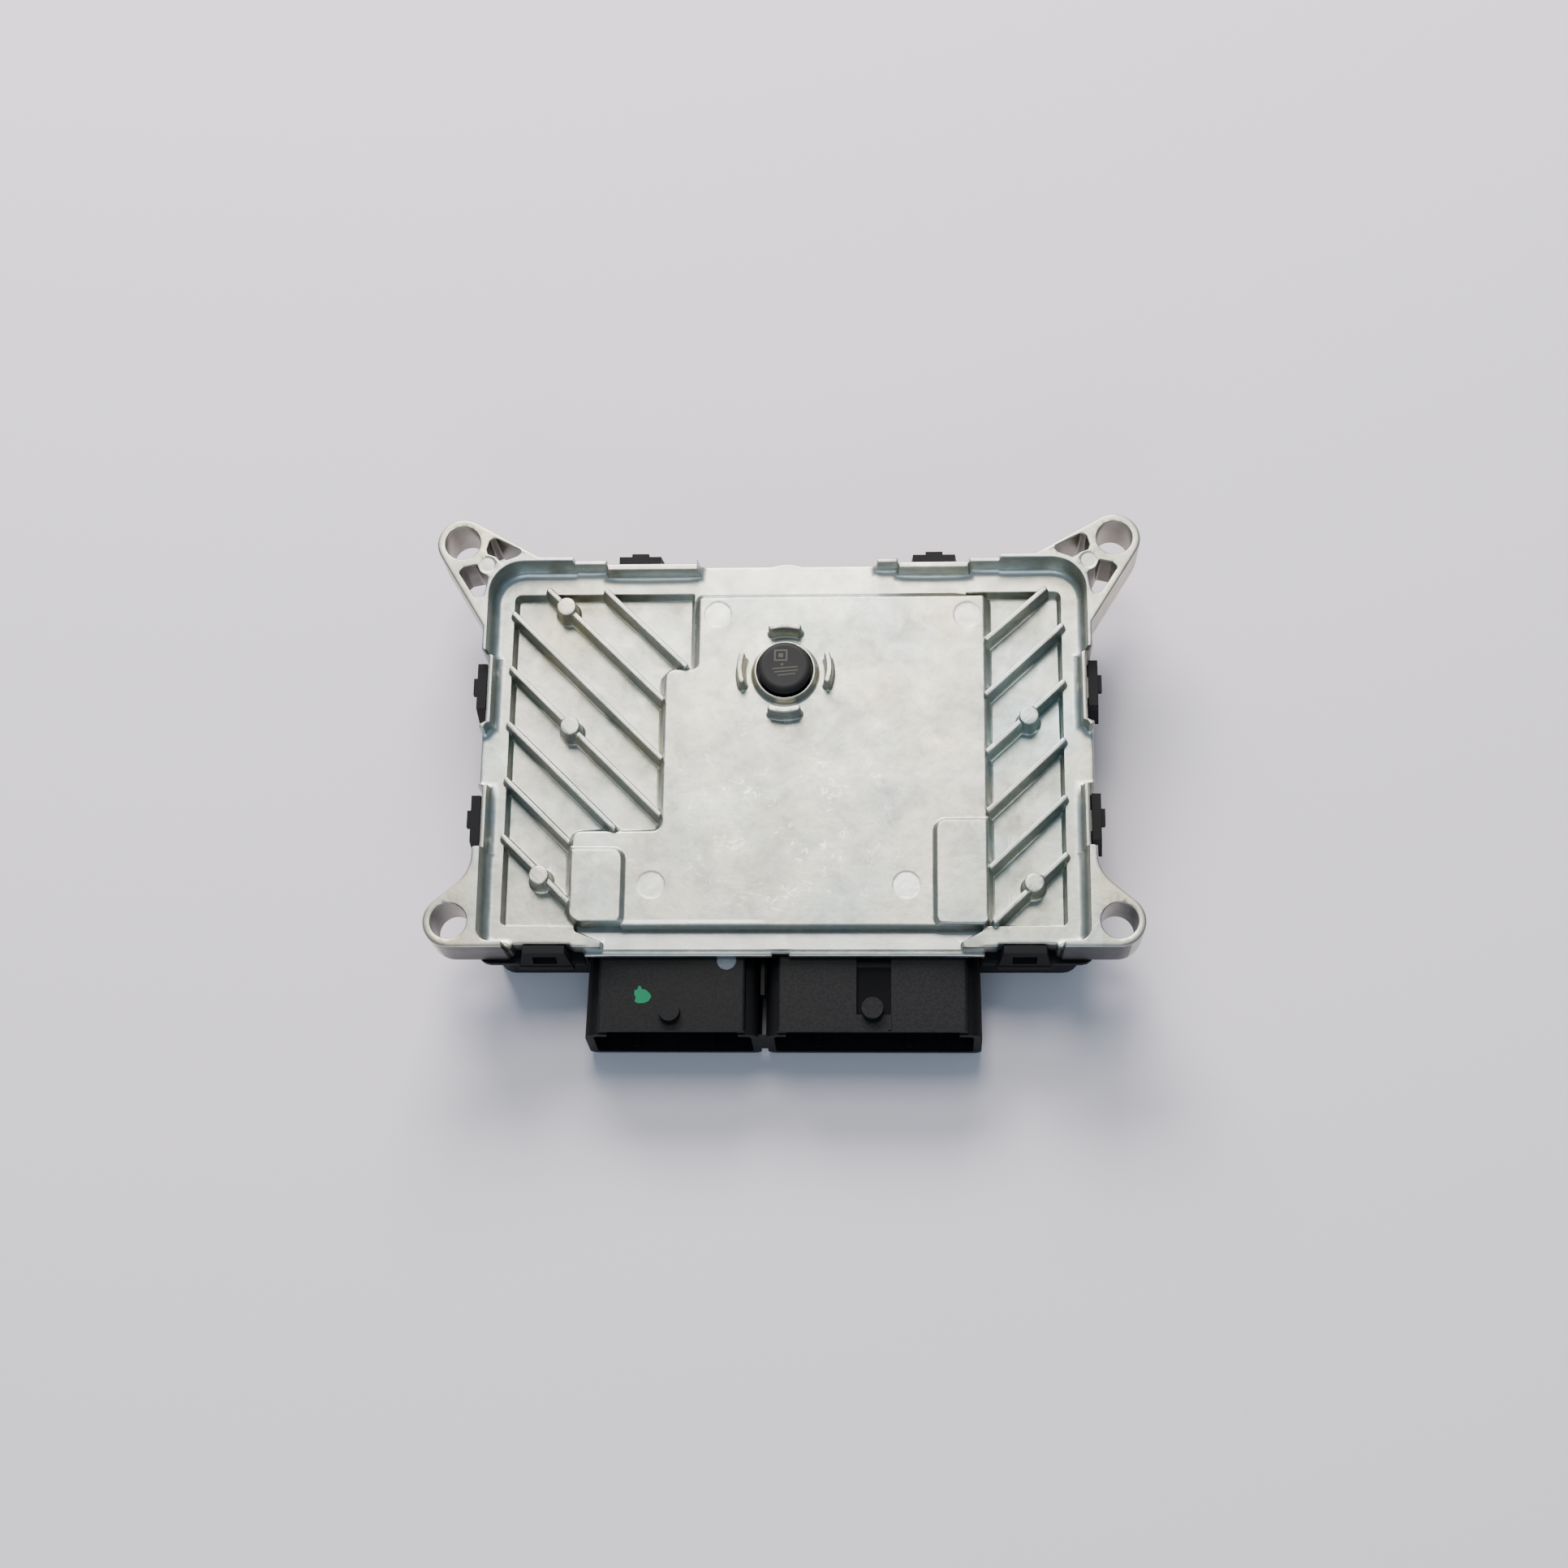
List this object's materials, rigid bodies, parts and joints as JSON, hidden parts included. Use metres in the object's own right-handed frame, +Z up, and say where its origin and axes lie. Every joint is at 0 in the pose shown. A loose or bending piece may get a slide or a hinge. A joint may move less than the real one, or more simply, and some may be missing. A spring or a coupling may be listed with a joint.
{
  "type": "engine control unit",
  "caption": "Flat die-cast engine control unit with bolt ears, ribbed top, clipped-on moulded bottom cover and a two-bay plug header along the front.",
  "frame": {"origin": "centre of the footprint at the underside of the bottom cover", "axes": "+X along the plug header, to the right as seen from the plug side; +Y away from the plug side; +Z up, out of the ribbed casting"},
  "size_m": [0.1804, 0.133, 0.034],
  "materials": {
    "casting": "as cast, satin",
    "cover_plastic": "fine texture",
    "header_plastic": "fine texture",
    "vent_plastic": "satin",
    "contacts": "tinned",
    "laminate": "solder mask",
    "chip_epoxy": "matt",
    "cans": "drawn, bright",
    "ferrite": "sintered, matt",
    "seal": "silicone",
    "gap_filler": "soft, matt",
    "zinc_steel": "zinc plated",
    "membrane": "porous film"
  },
  "bodies": {
    "root": {"housing": "casting", "bottom_cover": "cover_plastic", "connector_header": "header_plastic", "pin_block_left": "contacts", "pin_block_right": "contacts", "circuit_board": "laminate", "housing_seal": "seal", "header_seal": "seal", "board_screw_1": "zinc_steel", "board_screw_2": "zinc_steel", "board_screw_3": "zinc_steel", "board_screw_4": "zinc_steel", "board_screw_5": "zinc_steel", "vent_cap": "vent_plastic", "vent_o_ring": "seal", "vent_membrane": "membrane", "injector_driver_ic": "chip_epoxy", "ignition_driver_ic": "chip_epoxy", "throttle_driver_ic": "chip_epoxy", "microcontroller": "chip_epoxy", "power_supply_ic": "chip_epoxy", "flash_memory": "chip_epoxy", "can_transceiver": "chip_epoxy", "knock_interface_ic": "chip_epoxy", "pressure_sensor": "chip_epoxy", "thermal_pad_1": "gap_filler", "thermal_pad_2": "gap_filler", "thermal_pad_3": "gap_filler", "quartz_crystal": "cans", "choke_coil": "ferrite", "capacitor_1": "cans", "capacitor_2": "cans", "capacitor_3": "cans", "capacitor_4": "cans", "power_transistor_1": "chip_epoxy", "power_transistor_2": "chip_epoxy", "power_transistor_3": "chip_epoxy", "power_transistor_4": "chip_epoxy", "polarity_diode": "chip_epoxy"}
  },
  "joints": []
}
